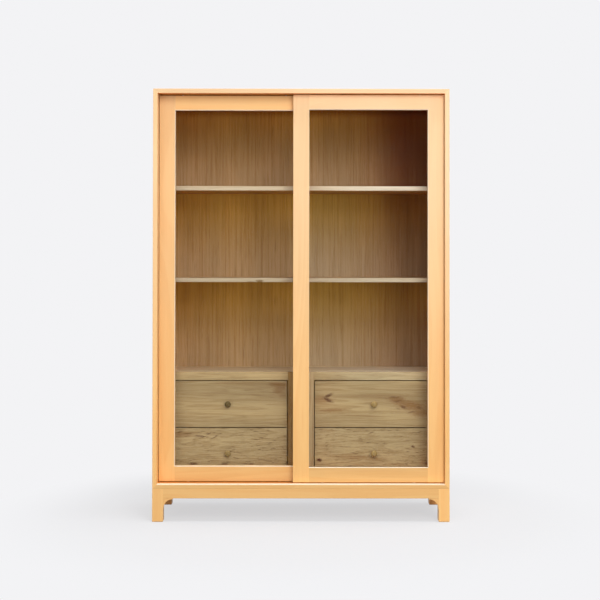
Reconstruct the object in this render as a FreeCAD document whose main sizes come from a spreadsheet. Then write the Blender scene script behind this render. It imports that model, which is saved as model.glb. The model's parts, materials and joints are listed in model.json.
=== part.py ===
import FreeCAD, Part
import os
import re

import Sketcher
from FreeCAD import Rotation, Vector

# Display cabinet: a mitred case on a low frame with bracketed legs, two sliding glass doors
# on separate tracks, two open shelves and a bank of four drawers behind the doors.
# Millimetres. X to the right, Y to the back, Z up. Origin under the middle, on the floor.

# Driving sizes, one cell each in the sheet
SIZES = {
    # case
    "case_width": 1200.0,
    "case_depth": 400.0,
    "total_height": 1750.0,
    "case_board": 18.0,
    "case_corner_radius": 3.0,
    "case_arris_radius": 1.5,
    "back_thickness": 9.0,
    "back_tongue": 9.0,
    # base frame
    "base_height": 133.0,
    "leg_width": 44.0,
    "foot_rounding": 4.0,
    "apron_height": 38.0,
    "apron_thickness": 20.0,
    "apron_tenon_length": 20.0,
    "apron_tenon_thickness": 10.0,
    "apron_tenon_shoulder": 6.0,
    "bracket_radius": 38.0,
    "bracket_lip": 3.0,
    "bracket_toe": 1.5,
    # sliding doors
    "door_thickness": 24.0,
    "door_stile": 65.0,
    "door_top_rail": 60.0,
    "door_bottom_rail": 62.0,
    "door_overlap": 65.0,
    "door_ceiling_gap": 3.0,
    "door_floor_gap": 2.5,
    "door_side_gap": 2.0,
    "door_spacing": 8.0,
    "front_door_setback": 30.0,
    "door_tenon_length": 30.0,
    "door_tenon_thickness": 8.0,
    "door_tenon_shoulder": 12.0,
    "glass_thickness": 4.0,
    "glass_setback": 11.0,
    "glass_rebate": 9.0,
    "glass_edge_gap": 1.0,
    # rollers, guide pins and tracks
    "roller_inset": 120.0,
    "wheel_radius": 9.0,
    "wheel_width": 4.5,
    "wheel_rounding": 0.8,
    "wheel_clearance": 1.5,
    "wheel_side_clearance": 0.7,
    "wheel_bore_clearance": 0.05,
    "wheel_seat_gap": 0.3,
    "axle_radius": 1.5,
    "housing_length": 46.0,
    "housing_width": 12.0,
    "housing_height": 20.0,
    "bottom_track_thickness": 4.0,
    "track_groove_depth": 2.2,
    "track_groove_width": 5.5,
    "top_track_height": 8.0,
    "top_track_wall": 1.5,
    "guide_pin_radius": 2.5,
    "guide_pin_inset": 95.0,
    "guide_pin_embed": 25.0,
    "guide_pin_rise": 5.0,
    "guide_pin_clearance": 0.5,
    # shelves
    "shelf_thickness": 18.0,
    "shelf_setback": 130.0,
    "shelf_side_gap": 0.5,
    "upper_shelf_height": 1212.0,
    "lower_shelf_height": 832.0,
    "shelf_pin_radius": 2.5,
    "shelf_pin_embed": 10.0,
    "shelf_pin_proud": 10.0,
    "shelf_pin_inset": 40.0,
    # drawer unit
    "unit_setback": 130.0,
    "deck_height": 442.0,
    "deck_thickness": 18.0,
    "frame_thickness": 20.0,
    "frame_stile": 32.0,
    "frame_post": 108.0,
    "frame_deck_rail": 33.0,
    "partition_thickness": 18.0,
    "runner_thickness": 12.0,
    "runner_ledge": 12.0,
    "runner_guide_height": 20.0,
    # drawers
    "drawer_gap": 3.5,
    "upper_drawer_height": 191.5,
    "drawer_box_lift": 9.0,
    "drawer_front_thickness": 18.0,
    "drawer_side_thickness": 12.0,
    "drawer_side_height": 150.0,
    "drawer_back_clearance": 26.0,
    "drawer_box_inset": 2.0,
    "drawer_side_clearance": 0.5,
    "drawer_seat_gap": 0.3,
    "drawer_bottom_thickness": 6.0,
    "drawer_bottom_lift": 10.0,
    "drawer_groove_depth": 6.0,
    "drawer_back_drop": 10.0,
    # drawer knobs
    "knob_head_radius": 13.0,
    "knob_head_thickness": 13.0,
    "knob_neck_radius": 5.5,
    "knob_foot_radius": 8.0,
    "knob_foot_length": 4.0,
    "knob_projection": 23.0,
    "knob_spigot_radius": 4.0,
    "knob_spigot_length": 12.0,
    # how far a cutting tool runs past the piece it cuts
    "overrun": 5.0,
}

# Sizes worked out from the driving ones
DERIVED = {
    "half_width": "case_width / 2",
    "front": "-case_depth / 2",
    "back": "case_depth / 2",
    "inner_half": "half_width - case_board",
    "floor": "base_height + case_board",
    "ceiling": "total_height - case_board",
    "back_face": "back - back_thickness",
    # doors and their running gear
    "door_bottom": "floor + door_floor_gap",
    "door_top": "ceiling - door_ceiling_gap",
    "bottom_rail_top": "door_bottom + door_bottom_rail",
    "top_rail_bottom": "door_top - door_top_rail",
    "door_width": "inner_half + door_overlap / 2 - door_side_gap",
    "front_door": "front + front_door_setback",
    "rear_door": "front_door + door_thickness + door_spacing",
    "tracks_end": "rear_door + door_thickness",
    "groove_floor": "floor - track_groove_depth",
    "axle_height": "groove_floor + wheel_seat_gap + wheel_radius",
    "channel_half": "guide_pin_radius + guide_pin_clearance",
    "top_track_top": "ceiling + top_track_height",
    "guide_pin_tip": "ceiling + guide_pin_rise",
    "upper_shelf_top": "floor + upper_shelf_height",
    "lower_shelf_top": "floor + lower_shelf_height",
    "shelf_front": "front + shelf_setback",
    # drawer unit
    "unit_front": "front + unit_setback",
    "frame_back": "unit_front + frame_thickness",
    "post_half": "frame_post / 2",
    "stile_edge": "inner_half - frame_stile",
    "deck_top": "floor + deck_height",
    "deck_rail_bottom": "deck_top - frame_deck_rail",
    "drawer_left": "post_half + drawer_gap",
    "drawer_right": "stile_edge - drawer_gap",
    "box_left": "drawer_left + drawer_box_inset",
    "box_right": "drawer_right - drawer_box_inset",
    "box_front": "unit_front + drawer_front_thickness",
    "box_back": "back_face - drawer_back_clearance",
    "upper_drawer_top": "deck_rail_bottom - drawer_gap",
    "upper_drawer": "upper_drawer_top - upper_drawer_height",
    "lower_drawer_top": "upper_drawer - drawer_gap",
    "lower_drawer": "floor + drawer_gap",
    "apron_bottom": "base_height - apron_height",
    "leg_edge": "half_width - leg_width",
}

RIGHT = Vector(1, 0, 0)
BACKWARD = Vector(0, 1, 0)
FORWARD = Vector(0, -1, 0)
UP = Vector(0, 0, 1)
WORD = re.compile(r"[a-z][a-z_]*")

# How close two lengths or directions must be to count as the same
TOLERANCE = 0.01

doc = FreeCAD.newDocument("display_cabinet")
sheet = doc.addObject("Spreadsheet::Sheet", "Sizes")
nodes = []


def fill_sheet():
    """Write every driving size into its own aliased cell."""
    for row, (alias, value) in enumerate(SIZES.items(), start=1):
        sheet.set(f"A{row}", alias)
        sheet.set(f"B{row}", str(value))
        sheet.setAlias(f"B{row}", alias)
    doc.recompute()


def bound(formula):
    """Turn a formula in plain names into an expression on the sheet's cells."""

    def cell(match):
        name = match.group()
        if name in SIZES:
            return f"Sizes.{name}"
        return f"({bound(DERIVED[name])})"

    return WORD.sub(cell, formula)


def value(formula):
    """The number that a formula gives at the present sizes."""
    return float(sheet.evalExpression(bound(formula)))


def add(kind, name):
    """A new labelled object of the document."""
    thing = doc.addObject(kind, name)
    thing.Label = name
    return thing


def place(thing, x, y, z):
    """Bind an object's position to the sheet."""
    for axis, formula in (("x", x), ("y", y), ("z", z)):
        thing.setExpression(f"Placement.Base.{axis}", bound(formula))


def node(thing):
    """Mark an object as a finished piece of the cabinet."""
    nodes.append(thing)
    return thing


def block(name, x, y, z):
    """A rectangular piece between two formulas on each axis."""
    box = add("Part::Box", name)
    for side, (low, high) in (("Length", x), ("Width", y), ("Height", z)):
        box.setExpression(side, bound(f"({high}) - ({low})"))
    place(box, x[0], y[0], z[0])
    return box


def rod(name, radius, length, start, along):
    """A round piece from a start point along a direction."""
    cylinder = add("Part::Cylinder", name)
    cylinder.setExpression("Radius", bound(radius))
    cylinder.setExpression("Height", bound(length))
    cylinder.Placement.Rotation = Rotation(UP, along)
    place(cylinder, *start)
    return cylinder


def joined(name, pieces):
    """Pieces glued or formed into one solid."""
    union = add("Part::MultiFuse", name)
    union.Shapes = pieces
    union.Refine = True
    return union


def cut(name, base, tools):
    """A piece with each of the tools taken away from it."""
    for number, tool in enumerate(tools, start=1):
        last = number == len(tools)
        result = add("Part::Cut", name if last else f"{name}_cut_{number}")
        result.Base = base
        result.Tool = tool
        result.Refine = True
        base = result
    return base


def group(name, pieces):
    """Separate solids kept together under one name."""
    compound = add("Part::Compound", name)
    compound.Links = pieces
    return compound


def mirrored(name, source, normal=RIGHT):
    """The same piece on the other side of the middle."""
    copy = add("Part::Mirroring", name)
    copy.Source = source
    copy.Normal = normal
    return copy


def pair(name, piece):
    """A piece and its mirror image, left and right."""
    return group(name, [piece, mirrored(f"{name}_other_hand", piece)])


def sketch_on(body, role, name):
    """A sketch on one of the body's own origin planes."""
    plane = next(item for item in body.Origin.OriginFeatures if item.Role == role)
    sketch = body.newObject("Sketcher::SketchObject", name)
    sketch.AttachmentSupport = [(plane, "")]
    sketch.MapMode = "FlatFace"
    return sketch


def pin_point(sketch, line, end, across, up):
    """Fix one point of a sketch at two formulas from its origin."""
    for kind, formula in (("DistanceX", across), ("DistanceY", up)):
        rule = Sketcher.Constraint(kind, -1, 1, line, end, value(formula))
        number = sketch.addConstraint(rule)
        sketch.setExpression(f"Constraints[{number}]", bound(formula))


def outline(sketch, points):
    """A closed straight-sided outline through points given as formulas."""
    corners = [Vector(value(across), value(up), 0) for across, up in points]
    count = len(points)
    for index in range(count):
        side = Part.LineSegment(corners[index], corners[(index + 1) % count])
        sketch.addGeometry(side, False)
    for index in range(count):
        sketch.addConstraint(Sketcher.Constraint("Coincident", index, 2, (index + 1) % count, 1))
    for index, (across, up) in enumerate(points):
        pin_point(sketch, index, 1, across, up)


def circle(sketch, radius):
    """A circle about the sketch's origin."""
    number = sketch.addGeometry(Part.Circle(Vector(0, 0, 0), UP, value(radius)), False)
    sketch.addConstraint(Sketcher.Constraint("Coincident", number, 3, -1, 1))
    rule = sketch.addConstraint(Sketcher.Constraint("Radius", number, value(radius)))
    sketch.setExpression(f"Constraints[{rule}]", bound(radius))


def padded(body, sketch, length):
    """Pad a sketch of the body by a bound length."""
    pad = body.newObject("PartDesign::Pad", f"{body.Name}_pad")
    pad.Profile = sketch
    pad.setExpression("Length", bound(length))
    doc.recompute()
    return pad


def rounded(body, feature, radius, chosen, name):
    """Round the edges of a body's feature that a test on the edge picks out."""
    edges = [f"Edge{number}" for number, edge in enumerate(feature.Shape.Edges, start=1) if chosen(edge)]
    fillet = body.newObject("PartDesign::Fillet", f"{body.Name}_{name}")
    fillet.Base = (feature, edges)
    fillet.setExpression("Radius", bound(radius))
    doc.recompute()
    return fillet


def runs_along(edge, direction):
    """Whether a straight edge is parallel to a direction."""
    if edge.Curve.TypeId != "Part::GeomLine":
        return False
    return abs(edge.Curve.Direction.dot(direction)) > 1 - TOLERANCE


def profile_body(name, role, points, length):
    """A body padded from a straight-sided outline on an origin plane."""
    body = add("PartDesign::Body", name)
    sketch = sketch_on(body, role, f"{name}_outline")
    outline(sketch, points)
    padded(body, sketch, length)
    return body


def case_envelope():
    """The outside of the whole case, with its rounded corners and softened front arris."""
    name = "case_envelope"
    body = add("PartDesign::Body", name)
    sketch = sketch_on(body, "XZ_Plane", f"{name}_outline")
    sides = [("-half_width", "half_width"), ("base_height", "total_height")]
    corners = [(0, 0), (1, 0), (1, 1), (0, 1)]
    outline(sketch, [(sides[0][across], sides[1][up]) for across, up in corners])
    pad = padded(body, sketch, "case_depth")
    corner = rounded(body, pad, "case_corner_radius", lambda edge: runs_along(edge, BACKWARD), "corners")
    depth = value("case_depth")

    def on_front(edge):
        return edge.BoundBox.YMax < TOLERANCE - depth

    rounded(body, corner, "case_arris_radius", on_front, "arris")
    place(body, "0", "back", "0")
    return body


def shelf_pin_rods(name):
    """The pins that carry the shelves, as they stand in the left side panel."""
    rods = []
    for shelf in ("upper_shelf", "lower_shelf"):
        height = f"{shelf}_top - shelf_thickness - shelf_pin_radius"
        rows = {"front": "shelf_front + shelf_pin_inset", "rear": "back_face - shelf_pin_inset"}
        for row, depth in rows.items():
            start = ("-inner_half - shelf_pin_embed", depth, height)
            length = "shelf_pin_embed + shelf_pin_proud"
            rods.append(rod(f"{name}_{shelf}_{row}", "shelf_pin_radius", length, start, RIGHT))
    return rods


def build_case():
    """Four mitred boards, the back panel in its rabbet, and both tracks."""
    envelope = case_envelope()
    inner_width = ("-inner_half", "inner_half")
    rabbet = block(
        "back_rabbet",
        ("-inner_half - back_tongue", "inner_half + back_tongue"),
        ("back_face", "back + overrun"),
        ("floor - back_tongue", "ceiling + back_tongue"),
    )
    bottom_groove = block(
        "bottom_track_groove",
        inner_width,
        ("front_door", "tracks_end"),
        ("floor - bottom_track_thickness", "floor + overrun"),
    )
    top_groove = block(
        "top_track_groove",
        inner_width,
        ("front_door", "tracks_end"),
        ("ceiling - overrun", "top_track_top"),
    )
    outer = {
        "bottom_left": ("-half_width", "base_height"),
        "top_left": ("-half_width", "total_height"),
        "bottom_right": ("half_width", "base_height"),
        "top_right": ("half_width", "total_height"),
    }
    inner = {
        "bottom_left": ("-inner_half", "floor"),
        "top_left": ("-inner_half", "ceiling"),
        "bottom_right": ("inner_half", "floor"),
        "top_right": ("inner_half", "ceiling"),
    }

    def mitred_board(name, first, second, tools):
        corners = [outer[first], outer[second], inner[second], inner[first]]
        blank = profile_body(f"{name}_blank", "XZ_Plane", corners, "case_depth")
        place(blank, "0", "back", "0")
        shaped = add("Part::Common", f"{name}_shaped")
        shaped.Base = blank
        shaped.Tool = envelope
        return cut(name, shaped, tools)

    pins = shelf_pin_rods("pin_hole")
    left = node(mitred_board("left_side_panel", "bottom_left", "top_left", [rabbet] + pins))
    node(mirrored("right_side_panel", left))
    node(mitred_board("top_panel", "top_left", "top_right", [rabbet, top_groove]))
    node(mitred_board("bottom_panel", "bottom_right", "bottom_left", [rabbet, bottom_groove]))
    node(
        block(
            "back_panel",
            ("-inner_half - back_tongue", "inner_half + back_tongue"),
            ("back_face", "back"),
            ("floor - back_tongue", "ceiling + back_tongue"),
        )
    )


def door_planes():
    """The middle plane of each door, front track first."""
    return [f"{face} + door_thickness / 2" for face in ("front_door", "rear_door")]


def build_tracks():
    """Coated aluminium tracks let in flush: two wheel grooves below, two pin channels above."""
    section = [("front_door", "floor - bottom_track_thickness"), ("front_door", "floor")]
    for plane in door_planes():
        near = f"{plane} - track_groove_width / 2"
        far = f"{plane} + track_groove_width / 2"
        section += [(near, "floor"), (near, "groove_floor"), (far, "groove_floor"), (far, "floor")]
    section += [("tracks_end", "floor"), ("tracks_end", "floor - bottom_track_thickness")]
    bottom = profile_body("bottom_track", "YZ_Plane", section, "2 * inner_half")
    place(bottom, "-inner_half", "0", "0")
    node(bottom)

    along = ("-inner_half", "inner_half")
    height = ("ceiling", "top_track_top")
    web_height = ("top_track_top - top_track_wall", "top_track_top")
    web = block("top_track_web", along, ("front_door", "tracks_end"), web_height)
    walls = [
        block("top_track_front_lip", along, ("front_door", "front_door + top_track_wall"), height),
        block("top_track_rear_lip", along, ("tracks_end - top_track_wall", "tracks_end"), height),
    ]
    for number, plane in enumerate(door_planes(), start=1):
        near = (f"{plane} - channel_half - top_track_wall", f"{plane} - channel_half")
        far = (f"{plane} + channel_half", f"{plane} + channel_half + top_track_wall")
        walls.append(block(f"top_track_channel_{number}_near", along, near, height))
        walls.append(block(f"top_track_channel_{number}_far", along, far, height))
    node(joined("top_track", [web] + walls))


def build_shelves():
    """Two loose shelves on pins let into the side panels."""
    for name in ("upper_shelf", "lower_shelf"):
        node(
            block(
                name,
                ("-inner_half + shelf_side_gap", "inner_half - shelf_side_gap"),
                ("shelf_front", "back_face"),
                (f"{name}_top - shelf_thickness", f"{name}_top"),
            )
        )
    left_pins = shelf_pin_rods("shelf_pin")
    right_pins = [mirrored(f"{pin.Name}_right", pin) for pin in left_pins]
    node(group("shelf_pins", left_pins + right_pins))


def build_drawer_unit():
    """The face frame, deck, partitions and runners that hold the drawers."""
    frame_depth = ("unit_front", "frame_back")
    behind_frame = ("frame_back", "back_face")
    inner_width = ("-inner_half", "inner_half")
    node(block("drawer_deck", inner_width, behind_frame, ("deck_top - deck_thickness", "deck_top")))
    node(block("centre_post", ("-post_half", "post_half"), frame_depth, ("floor", "deck_top")))
    stile = block("right_face_stile", ("stile_edge", "inner_half"), frame_depth, ("floor", "deck_top"))
    node(pair("face_frame_stiles", stile))
    between = ("post_half", "stile_edge")
    rail = block("right_deck_rail", between, frame_depth, ("deck_rail_bottom", "deck_top"))
    node(pair("deck_rails", rail))
    partition = block(
        "right_partition",
        ("post_half - partition_thickness", "post_half"),
        behind_frame,
        ("floor", "deck_top - deck_thickness"),
    )
    node(pair("centre_partitions", partition))

    runners = []
    for level in ("lower", "upper"):
        top = f"{level}_drawer + drawer_box_lift - drawer_seat_gap"
        low = "floor" if level == "lower" else f"{top} - runner_thickness"
        guide = (low, f"{top} + runner_guide_height")
        inner_wall = "box_left - drawer_side_clearance"
        outer_wall = "box_right + drawer_side_clearance"
        name = f"{level}_runner"
        inner = [
            block(f"{name}_inner_guide", ("post_half", inner_wall), behind_frame, guide),
            block(f"{name}_inner_ledge", ("post_half", "box_left + runner_ledge"), behind_frame, (low, top)),
        ]
        outer_reach = ("box_right - runner_ledge", "inner_half")
        outer = [
            block(f"{name}_outer_guide", (outer_wall, "inner_half"), behind_frame, guide),
            block(f"{name}_outer_ledge", outer_reach, behind_frame, (low, top)),
        ]
        runners.append(joined(f"{name}_inner", inner))
        runners.append(joined(f"{name}_outer", outer))
    node(pair("drawer_runners", group("right_runners", runners)))


def knob(name, height):
    """A turned knob on a flared foot, with its spigot in the drawer front."""
    middle = "(drawer_left + drawer_right) / 2"
    face = "unit_front"
    head = add("Part::Ellipsoid", f"{name}_head")
    head.setExpression("Radius1", bound("knob_head_thickness / 2"))
    head.setExpression("Radius2", bound("knob_head_radius"))
    head.Placement.Rotation = Rotation(UP, FORWARD)
    place(head, middle, f"{face} - knob_projection + knob_head_thickness / 2", height)
    stem_length = "knob_projection - knob_head_thickness / 2"
    stem = rod(f"{name}_stem", "knob_neck_radius", stem_length, (middle, face, height), FORWARD)
    foot = add("Part::Cone", f"{name}_foot")
    foot.setExpression("Radius1", bound("knob_foot_radius"))
    foot.setExpression("Radius2", bound("knob_neck_radius"))
    foot.setExpression("Height", bound("knob_foot_length"))
    foot.Placement.Rotation = Rotation(UP, FORWARD)
    place(foot, middle, face, height)
    start = (middle, face, height)
    spigot = rod(f"{name}_spigot", "knob_spigot_radius", "knob_spigot_length", start, BACKWARD)
    return joined(name, [head, stem, foot, spigot])


def build_right_drawer(level):
    """One drawer of the right-hand bank: front, knob, grooved box and bottom."""
    name = f"{level}_right_drawer"
    front_height = (f"{level}_drawer", f"{level}_drawer_top")
    middle = f"({front_height[0]} + {front_height[1]}) / 2"
    low = f"{level}_drawer + drawer_box_lift"
    bottom = (f"{low} + drawer_bottom_lift", f"{low} + drawer_bottom_lift + drawer_bottom_thickness")
    sides_top = f"{low} + drawer_side_height"
    panel = block(
        f"{name}_bottom",
        ("box_left + drawer_groove_depth", "box_right - drawer_groove_depth"),
        ("box_front - drawer_groove_depth", "box_back"),
        bottom,
    )
    spigot_hole = rod(
        f"{name}_spigot_hole",
        "knob_spigot_radius",
        "knob_spigot_length",
        ("(drawer_left + drawer_right) / 2", "unit_front", middle),
        BACKWARD,
    )
    blank = block(
        f"{name}_front_blank",
        ("drawer_left", "drawer_right"),
        ("unit_front", "box_front"),
        front_height,
    )
    front = cut(f"{name}_front", blank, [panel, spigot_hole])
    sides = []
    for hand, across in (
        ("left", ("box_left", "box_left + drawer_side_thickness")),
        ("right", ("box_right - drawer_side_thickness", "box_right")),
    ):
        side = block(f"{name}_{hand}_side_blank", across, ("box_front", "box_back"), (low, sides_top))
        sides.append(cut(f"{name}_{hand}_side", side, [panel]))
    back = block(
        f"{name}_back",
        ("box_left + drawer_side_thickness", "box_right - drawer_side_thickness"),
        ("box_back - drawer_side_thickness", "box_back"),
        (bottom[1], f"{sides_top} - drawer_back_drop"),
    )
    return {
        "front": front,
        "box": group(f"{name}_box", sides + [back]),
        "bottom": panel,
        "knob": knob(f"{name}_knob", middle),
    }


def build_drawers():
    """Four drawers: the right-hand two, and their mirror images on the left."""
    for level in ("upper", "lower"):
        pieces = build_right_drawer(level)
        for part, piece in pieces.items():
            node(piece)
            node(mirrored(f"{level}_left_drawer_{part}", piece))


def wheel(name, x, plane):
    """A nylon wheel with rounded treads, free on its axle."""
    body = add("PartDesign::Body", name)
    sketch = sketch_on(body, "XZ_Plane", f"{name}_outline")
    circle(sketch, "wheel_radius")
    circle(sketch, "axle_radius + wheel_bore_clearance")
    pad = padded(body, sketch, "wheel_width")
    tread = value("wheel_radius")

    def on_tread(edge):
        return edge.Curve.TypeId == "Part::GeomCircle" and abs(edge.Curve.Radius - tread) < TOLERANCE

    rounded(body, pad, "wheel_rounding", on_tread, "tread")
    place(body, x, f"{plane} + wheel_width / 2", "axle_height")
    return body


def build_door(door, left_edge, face):
    """A framed glass door on two roller units, guided by two pins at its top."""
    right_edge = f"({left_edge} + door_width)"
    rail_left = f"({left_edge} + door_stile)"
    rail_right = f"({right_edge} - door_stile)"
    plane = f"({face} + door_thickness / 2)"
    depth = (face, f"{face} + door_thickness")

    pocket_depth = (f"{face} + glass_setback", f"{face} + door_thickness + overrun")
    pocket = block(
        f"{door}_glass_rebate",
        (f"{rail_left} - glass_rebate", f"{rail_right} + glass_rebate"),
        pocket_depth,
        ("bottom_rail_top - glass_rebate", "top_rail_bottom + glass_rebate"),
    )

    tenon_depth = (f"{plane} - door_tenon_thickness / 2", f"{plane} + door_tenon_thickness / 2")
    tenons = {"left": [], "right": []}
    rails = {"top": ("top_rail_bottom", "door_top"), "bottom": ("door_bottom", "bottom_rail_top")}
    rail_pieces = {}
    for level, (low, high) in rails.items():
        height = (f"{low} + door_tenon_shoulder", f"{high} - door_tenon_shoulder")
        left = (f"{rail_left} - door_tenon_length", rail_left)
        right = (rail_right, f"{rail_right} + door_tenon_length")
        tenons["left"].append(block(f"{door}_{level}_left_tenon", left, tenon_depth, height))
        tenons["right"].append(block(f"{door}_{level}_right_tenon", right, tenon_depth, height))
        rail = block(f"{door}_{level}_rail_blank", (rail_left, rail_right), depth, (low, high))
        ends = [tenons["left"][-1], tenons["right"][-1]]
        rail_pieces[level] = joined(f"{door}_{level}_rail_tenoned", [rail] + ends)

    stiles = {"left": (left_edge, rail_left), "right": (rail_right, right_edge)}
    for hand, across in stiles.items():
        blank = block(f"{door}_{hand}_stile_blank", across, depth, ("door_bottom", "door_top"))
        node(cut(f"{door}_{hand}_stile", blank, [pocket] + tenons[hand]))

    ends = {"left": f"{left_edge} + roller_inset", "right": f"{right_edge} - roller_inset"}
    housings, mortises = [], []
    for hand, x in ends.items():
        name = f"{door}_{hand}_roller"
        room = (
            (f"{x} - housing_length / 2", f"{x} + housing_length / 2"),
            (f"{plane} - housing_width / 2", f"{plane} + housing_width / 2"),
            ("door_bottom", "door_bottom + housing_height"),
        )
        blank = block(f"{name}_blank", *room)
        mortises.append(blank)
        slot = block(
            f"{name}_slot",
            (f"{x} - wheel_radius - wheel_clearance", f"{x} + wheel_radius + wheel_clearance"),
            (
                f"{plane} - wheel_width / 2 - wheel_side_clearance",
                f"{plane} + wheel_width / 2 + wheel_side_clearance",
            ),
            ("door_bottom - overrun", "axle_height + wheel_radius + wheel_clearance"),
        )
        start = (x, f"{plane} - housing_width / 2", "axle_height")
        axle = rod(f"{name}_axle", "axle_radius", "housing_width", start, BACKWARD)
        housings += [cut(f"{name}_housing", blank, [slot, axle]), axle]
        node(wheel(f"{door}_{hand}_wheel", x, plane))
    node(group(f"{door}_roller_housings", housings))
    node(cut(f"{door}_bottom_rail", rail_pieces["bottom"], [pocket] + mortises))

    pins = []
    inset = {"left": f"{left_edge} + guide_pin_inset", "right": f"{right_edge} - guide_pin_inset"}
    for hand, x in inset.items():
        start = (x, plane, "door_top - guide_pin_embed")
        length = "guide_pin_tip - door_top + guide_pin_embed"
        pins.append(rod(f"{door}_{hand}_guide_pin", "guide_pin_radius", length, start, UP))
    node(group(f"{door}_guide_pins", pins))
    node(cut(f"{door}_top_rail", rail_pieces["top"], [pocket] + pins))

    reach = "glass_rebate - glass_edge_gap"
    glass_back = f"{face} + glass_setback + glass_thickness"
    node(
        block(
            f"{door}_glass",
            (f"{rail_left} - ({reach})", f"{rail_right} + {reach}"),
            (f"{face} + glass_setback", glass_back),
            (f"bottom_rail_top - ({reach})", f"top_rail_bottom + {reach}"),
        )
    )
    bead_depth = (glass_back, f"{face} + door_thickness")
    wide = (f"{rail_left} - glass_rebate", f"{rail_right} + glass_rebate")
    tall = ("bottom_rail_top", "top_rail_bottom")
    beads = [
        block(f"{door}_top_bead", wide, bead_depth, (tall[1], f"{tall[1]} + glass_rebate")),
        block(f"{door}_bottom_bead", wide, bead_depth, (f"{tall[0]} - glass_rebate", tall[0])),
        block(f"{door}_left_bead", (wide[0], rail_left), bead_depth, tall),
        block(f"{door}_right_bead", (rail_right, wide[1]), bead_depth, tall),
    ]
    node(group(f"{door}_glazing_beads", beads))


def build_legs(tenons):
    """Four square legs with softened soles, mortised for the aprons."""
    body = add("PartDesign::Body", "front_left_leg_post")
    sketch = sketch_on(body, "XY_Plane", "front_left_leg_outline")
    near, far = ("-half_width", "front"), ("-leg_edge", "front + leg_width")
    outline(sketch, [near, (far[0], near[1]), far, (near[0], far[1])])
    post = padded(body, sketch, "base_height")

    def on_sole(edge):
        return edge.BoundBox.ZMax < TOLERANCE

    rounded(body, post, "foot_rounding", on_sole, "sole")
    leg = node(cut("front_left_leg", body, tenons))
    node(mirrored("front_right_leg", leg))
    rear = node(mirrored("rear_left_leg", leg, BACKWARD))
    node(mirrored("rear_right_leg", rear))


def bracket(name, length, depth, hollow_start, along, thickness):
    """A corner bracket under an apron, hollowed to a quarter round."""
    drop = ("apron_bottom - bracket_lip - bracket_radius", "apron_bottom")
    x, y = (length, depth) if along == "x" else (depth, length)
    blank = block(f"{name}_blank", x, y, drop)
    direction = BACKWARD if along == "x" else RIGHT
    start = hollow_start + (drop[0],)
    hollow = rod(f"{name}_hollow", "bracket_radius", thickness, start, direction)
    return cut(name, blank, [hollow])


def build_base():
    """Aprons tenoned into the legs, with a bracket in each corner below them."""
    height = ("apron_bottom", "base_height")
    tenon_height = ("apron_bottom + apron_tenon_shoulder", "base_height - apron_tenon_shoulder")
    middle = "apron_thickness / 2"
    front_tenon_depth = (
        f"front + {middle} - apron_tenon_thickness / 2",
        f"front + {middle} + apron_tenon_thickness / 2",
    )
    front_tenon = block(
        "front_apron_tenon",
        ("-leg_edge - apron_tenon_length", "-leg_edge"),
        front_tenon_depth,
        tenon_height,
    )
    side_tenon = block(
        "side_apron_tenon",
        (
            f"-half_width + {middle} - apron_tenon_thickness / 2",
            f"-half_width + {middle} + apron_tenon_thickness / 2",
        ),
        ("front + leg_width - apron_tenon_length", "front + leg_width"),
        tenon_height,
    )
    build_legs([front_tenon, side_tenon])

    front_depth = ("front", "front + apron_thickness")
    front_rail = block("front_apron_rail", ("-leg_edge", "leg_edge"), front_depth, height)
    other_end = mirrored("front_apron_right_tenon", front_tenon)
    front_apron = node(joined("front_apron", [front_rail, front_tenon, other_end]))
    node(mirrored("rear_apron", front_apron, BACKWARD))

    side_rail = block(
        "side_apron_rail",
        ("-half_width", "-half_width + apron_thickness"),
        ("front + leg_width", "back - leg_width"),
        height,
    )
    other_end = mirrored("side_apron_rear_tenon", side_tenon, BACKWARD)
    node(pair("side_aprons", joined("left_apron", [side_rail, side_tenon, other_end])))

    reach = "bracket_toe + bracket_radius"
    front_bracket = bracket(
        "front_bracket",
        ("-leg_edge", f"-leg_edge + {reach}"),
        front_depth,
        (f"-leg_edge + {reach}", "front"),
        "x",
        "apron_thickness",
    )
    side_bracket = bracket(
        "side_bracket",
        ("front + leg_width", f"front + leg_width + {reach}"),
        ("-half_width", "-half_width + apron_thickness"),
        ("-half_width", f"front + leg_width + {reach}"),
        "y",
        "apron_thickness",
    )
    front_corner = group("left_front_brackets", [front_bracket, side_bracket])
    rear_corner = mirrored("left_rear_brackets", front_corner, BACKWARD)
    left = [front_corner, rear_corner]
    right = [mirrored(f"{corner.Name}_other_hand", corner) for corner in left]
    node(group("corner_brackets", left + right))


def separate_solids(thing):
    """The piece's own solids, as one shape to write out."""
    solids = thing.Shape.Solids
    return solids[0] if len(solids) == 1 else Part.Compound(solids)


def check_and_write():
    """Stop on any failed object, then write one file for each finished piece."""
    doc.recompute()
    for thing in doc.Objects:
        if {"Invalid", "Error"} & set(thing.State):
            raise RuntimeError(f"{thing.Label} failed: {thing.State}")
    for piece in nodes:
        if piece.Shape.isNull() or not piece.Shape.isValid() or not piece.Shape.Solids:
            raise RuntimeError(f"{piece.Label} has no valid shape")
    os.makedirs("parts", exist_ok=True)
    for piece in nodes:
        shape = separate_solids(piece)
        shape.exportStep(os.path.join("parts", f"{piece.Label}.step"))
        print(f"{piece.Label}: {len(piece.Shape.Solids)} solids, {shape.Volume / 1000:.1f} cm3")
    print(len(nodes), "pieces written")


fill_sheet()
build_case()
build_tracks()
build_shelves()
build_drawer_unit()
build_drawers()
build_door("left_door", "(-inner_half + door_side_gap)", "rear_door")
build_door("right_door", "(-door_overlap / 2)", "front_door")
build_base()
check_and_write()
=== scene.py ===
import json
import math
import random
from functools import cache

import bmesh
import bpy
from mathutils import Matrix, Vector


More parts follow.
